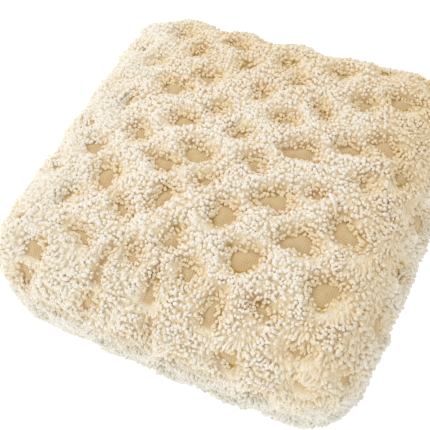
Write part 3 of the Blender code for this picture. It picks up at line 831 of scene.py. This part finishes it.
def buildShag(panel, material, seed):
    # each tuft's middle line runs from its knot up through the pile and leans as the pile around it does:
    # place = knot + lean x station^1.6, height = rise x a sine of the station
    dice = np.random.default_rng(seed)
    across, down, edge, toAcross, toDown = placeKnots(panel, dice)
    u, v = clothPlace(panel, across, down)
    count = len(across)
    # the pit lies in front of or below the tuft: it hangs over. It lies behind: the tuft stands
    hang = smoothStep(-toDown if panel == "top" else toDown, -0.6, 0.6)
    flatness = matted(u)
    # painted shade, kept in tan: darker beside a pit where the yarn hangs over, and on the matted yarn
    shadeShare, shadeReach = tuft["hangShade"]
    tan = shadeShare * hang * (1 - smoothStep(edge, 0.0, shadeReach)) + tuft["mattedShade"] * flatness
    hang = tuft["nearOverhang"] + (1 - tuft["nearOverhang"]) * hang
    over = tuft["overhang"] * hang * (1 - smoothStep(edge, -0.003, tuft["edgeFade"]))
    over *= dice.uniform(*tuft["overhangSpread"], count)
    pullAcross, pullDown = clumpPull(across, down)
    leanAcross = over * toAcross + tuft["comb"] * waves(u, v, 1) + tuft["clumpPull"] * pullAcross
    leanDown = over * toDown + tuft["comb"] * waves(u, v, 2) + tuft["clumpPull"] * pullDown
    leanAcross += dice.normal(0, tuft["jitter"], count)
    leanDown += dice.normal(0, tuft["jitter"], count)
    byPatch, byTuft = tuft["lengthSpread"]
    length = tuft["length"] * (1 + byPatch * waves(u, v, 3) + dice.normal(0, byTuft, count))
    lowShare, lowReach = tuft["edgeLow"]
    length *= 1 - lowShare * (1 - smoothStep(edge, 0.0, lowReach))
    thinShare, thinReach = tuft["edgeThin"]
    thickness = tuft["radius"] * dice.uniform(*tuft["radiusSpread"], count)
    thickness *= 1 - thinShare * (1 - smoothStep(edge, 0.0, thinReach))
    leanDown += (-1 if panel == "top" else 1) * tuft["matted"] * flatness
    leanAcross += dice.normal(0, tuft["mattedScatter"], count) * flatness
    thickness *= (1 - tuft["mattedThin"] * flatness) * (1 - tuft["combedThin"] * combed(u, v))
    if panel == "top":
        # painted light along the left edge of the top; a browner back
        tan -= tuft["leftLight"] * smoothStep(-across, *tuft["leftLightFrom"])
        tan += tuft["backTan"] * smoothStep(down, *tuft["backFrom"])
        # combed down at the front, and over the seams
        leanDown -= tuft["combed"] * combed(u, v)
        for lean, place in ((leanAcross, across), (leanDown, down)):
            near = smoothStep(np.abs(place), reach - tuft["seamReach"], reach)
            lean += tuft["seamLean"] * np.sign(place) * near
    else:
        sag, seamShare = tuft["sag"]
        sagShare = seamShare + (1 - seamShare) * smoothStep(down, *tuft["sagFrom"])
        leanDown += sag * combed(u, v) * sagShare
        shortShare, shortReach = tuft["rimShort"]
        length *= 1 - shortShare * smoothStep(down, drop - shortReach, drop)
    lean = np.hypot(leanAcross, leanDown)
    shrink = np.minimum(1, tuft["mostLean"] * length / (lean + 1e-9))
    leanAcross *= shrink
    leanDown *= shrink
    felt, share = feltHeight(panel, across, down)
    flatLow, flatClear = tuft["mattedLow"]
    clear = tuft["clear"] * dice.uniform(*tuft["clearSpread"], count) * (1 - flatClear * flatness)
    standing = np.sqrt(length**2 - (lean * shrink)**2) * (1 - flatLow * flatness)
    rise = np.maximum(standing, share * (felt + clear))
    swaySize = dice.normal(0, tuft["sway"], count)
    lots = dice.uniform(0, tuft["lot"], count)
    # painted cool light, a little different from tuft to tuft
    paintedCoolLight = np.clip(coolLightShare(panel, across, down) + dice.normal(0, tuft["coolLightSpread"], count), 0, 1)
    fringe = edge < tuft["fringe"]
    pieces = []
    for kind, chosen in (("shag", ~fringe), ("pit_fringe", fringe)):
        stations, profile = np.array(tuft[kind]).T
        bend = stations**1.6
        sway = swaySize[chosen, None] * np.sin(math.pi * stations)
        climb = 0.15 * stations + 0.85 * np.sin(stations * math.pi / 2)
        height = rise[chosen, None] * climb - tuft["rootDepth"]
        pathAcross = across[chosen, None] + leanAcross[chosen, None] * bend + sway
        pathDown = down[chosen, None] + leanDown[chosen, None] * bend - sway
        centres = panelPoints(panel, pathAcross, pathDown, height)
        centres[..., 2] = np.maximum(centres[..., 2], tuft["lowest"])
        radii = thickness[chosen, None] * profile[1:-1]
        # painted shade: lighter along the tuft and higher in the pile, darker where the pile is low
        pale = tuft["tipShare"] * stations + (1 - tuft["tipShare"]) * height / tuft["fullHeight"]
        pale -= tan[chosen, None]
        piece = tuftMesh(panel + "_" + kind, centres, radii, pale, lots[chosen], paintedCoolLight[chosen], material)
        triangles = len(piece.data.loops) - 2 * len(piece.data.polygons)
        print(piece.name + ":", chosen.sum(), "tufts,", triangles, "triangles")
        pieces.append(piece)
    return pieces


strand = {
    "root": (0.1715, -0.0585),   # where it leaves the pile of the top, to the right and to the back
    "end": (0.1500, -0.0305),
    "rootHeight": 0.0150,    # over the cloth
    "endHeight": 0.0235,
    "bow": 0.0020,           # how far it bows sideways
    "radius": 0.0036,        # at its end
    "rootShare": 0.30,       # share of that at its root
    "endPale": 1.2,
    "stations": 16,
}


def buildStrand(material):
    # one long strand lies loose on the pile: it rises out of it, bows a little and thickens to a round end.
    # middle line: the straight way plus half a sine wave aside; radius: a ramp times (1 - station^16)^0.5
    stations = np.sin(np.linspace(0, math.pi / 2, strand["stations"]))[None]
    rootAcross, rootDown = strand["root"]
    wayAcross, wayDown = strand["end"][0] - rootAcross, strand["end"][1] - rootDown
    bow = strand["bow"] * np.sin(math.pi * stations) / math.hypot(wayAcross, wayDown)
    across = rootAcross + wayAcross * stations + wayDown * bow
    down = rootDown + wayDown * stations - wayAcross * bow
    climb = strand["endHeight"] - strand["rootHeight"]
    height = strand["rootHeight"] + climb * np.sin(stations * math.pi / 2)
    centres = panelPoints("top", across, down, height)
    thickness = strand["rootShare"] + (1 - strand["rootShare"]) * stations
    radii = (strand["radius"] * thickness * np.sqrt(1 - stations**16))[:, 1:-1]
    # painted shade: darker where the strand leaves the pile, lightest at its end
    pale = strand["endPale"] * stations
    return tuftMesh("stray_strand", centres, radii, pale, np.zeros(1), np.zeros(1), material)


base = {
    "rings": (0.2, 0.45, 0.7, 0.9, 0.985, 1.0),   # their size over that of the base's outline
    "edgeRound": 0.3,        # share of the thickness that is rounded off at the rim, above and below
}


def buildBase(material):
    # a thin flat cloth: rings of the base's outline drawn in to the middle, on its two faces
    ring = baseRing() + offCentre
    middle = (ring.min(axis=0) + ring.max(axis=0)) / 2
    thickness = form["baseHeight"]
    under = [middle + (ring - middle) * share for share in base["rings"]]
    over = [level + (0, 0, thickness) for level in under[::-1]]
    under[-1][:, 2] += thickness * base["edgeRound"]
    over[0][:, 2] -= thickness * base["edgeRound"]
    rings = np.array(under + over)
    count = len(ring)
    points = np.concatenate([rings.reshape(-1, 3), middle[None], middle[None] + (0, 0, thickness)])
    index = np.arange(count)
    after = (index + 1) % count
    quads = np.concatenate([
        np.stack([index, after, after + count, index + count], axis=1) + row * count
        for row in range(len(rings) - 1)
    ])
    last = (len(rings) - 1) * count
    poles = len(rings) * count
    triangles = np.concatenate([
        np.stack([np.full(count, poles), after, index], axis=1),
        np.stack([np.full(count, poles + 1), last + index, last + after], axis=1),
    ])
    piece = meshFromArrays("base_cloth", points, triangles, quads)
    piece.data.materials.append(material)
    return piece


def addPieces():
    woolYarn = makeWoolMaterial()
    groundCloth = buildGround(makeGroundMaterial())
    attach(groundCloth, "root")
    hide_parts("filled_body")
    print("ground built")
    for seed, panel in enumerate(panels):
        for shag in buildShag(panel, woolYarn, 20 + seed):
            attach(shag, "root")
            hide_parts(panel + "_panel")
    strayStrand = buildStrand(woolYarn)
    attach(strayStrand, "root")
    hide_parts("top_panel")
    print("strand built")
    baseCloth = buildBase(makeCanvasMaterial())
    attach(baseCloth, "root")
    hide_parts("base_panel")
    print("base built")


view = {
    "lens": 53.2,            # mm, on a sensor 36 mm wide
    "elevation": 58.4,       # degrees above the floor
    "azimuth": 28.2,         # degrees from the front towards the right side
    "roll": -4.8,            # degrees
    "distance": 0.981,       # from the target
    "target": (-0.013, -0.050, 0.120),
}


def direction(azimuth, elevation):
    # the way out from the middle, in degrees from the front towards the right side and above the floor
    turn, lift = math.radians(azimuth), math.radians(elevation)
    return Vector((math.sin(turn) * math.cos(lift), -math.cos(turn) * math.cos(lift), math.sin(lift)))


def addCamera():
    back = direction(view["azimuth"], view["elevation"])
    roll = math.radians(view["roll"])
    right = Vector((0, 0, 1)).cross(back).normalized()
    up = back.cross(right)
    rolledRight = right * math.cos(roll) + up * math.sin(roll)
    rolledUp = up * math.cos(roll) - right * math.sin(roll)
    camera = bpy.data.objects.new("camera", bpy.data.cameras.new("camera"))
    camera.data.lens = view["lens"]
    camera.data.sensor_width = 36
    turnMatrix = Matrix((rolledRight, rolledUp, back)).transposed().to_4x4()
    place = Vector(view["target"]) + Vector(offCentre) + back * view["distance"]
    camera.matrix_world = Matrix.Translation(place) @ turnMatrix
    bpy.context.scene.collection.objects.link(camera)
    bpy.context.scene.camera = camera
    print("camera placed")


studio = {
    "world": 0.725,          # strength of the even light from all round
    "floorGlow": 0.42,       # light that the floor gives off, which keeps it pale
    "floorReach": 8.0,
    "floorDrop": 0.0002,     # below the object's lowest point
    "lights": (              # name, azimuth, elevation, distance, size, watts, colour
        ("window", -130, 55, 2.4, 1.6, 13, "#FFF8EE"),
        ("fill", -35, 35, 2.4, 1.8, 11, "#F6F7FC"),
    ),
}


def addStudio():
    # light from all round, two soft lamps and a pale floor
    scene = bpy.context.scene
    world = bpy.data.worlds.new("studio")
    world.use_nodes = True
    background = world.node_tree.nodes["Background"]
    background.inputs["Color"].default_value = linearColour("#FFFFFF")
    background.inputs["Strength"].default_value = studio["world"]
    scene.world = world
    for name, azimuth, elevation, distance, size, watts, colour in studio["lights"]:
        lamp = bpy.data.lights.new(name, "AREA")
        lamp.shape = "DISK"
        lamp.size = size
        lamp.energy = watts
        lamp.color = linearColour(colour)[:3]
        holder = bpy.data.objects.new(name, lamp)
        holder.location = direction(azimuth, elevation) * distance
        holder.rotation_euler = holder.location.to_track_quat("Z", "Y").to_euler()
        scene.collection.objects.link(holder)
    floorMaterial, _, _ = newMaterial("matt white floor", {
        "Base Color": linearColour("#FFFFFF"), "Roughness": 0.9, "Specular IOR Level": 0.0,
        "Emission Color": linearColour("#FFFFFF"), "Emission Strength": studio["floorGlow"],
    })
    corners = np.array([(-1, -1, 0), (1, -1, 0), (1, 1, 0), (-1, 1, 0)]) * studio["floorReach"]
    corners[:, 2] = -studio["floorDrop"]
    floor = meshFromArrays("floor", corners, None, np.array([[0, 1, 2, 3]]))
    floor.data.materials.append(floorMaterial)
    scene.view_settings.view_transform = "Standard"
    scene.cycles.diffuse_bounces = 10     # light goes to and fro between pale fibres
    print("studio lit")


addCamera()
addPieces()
addStudio()
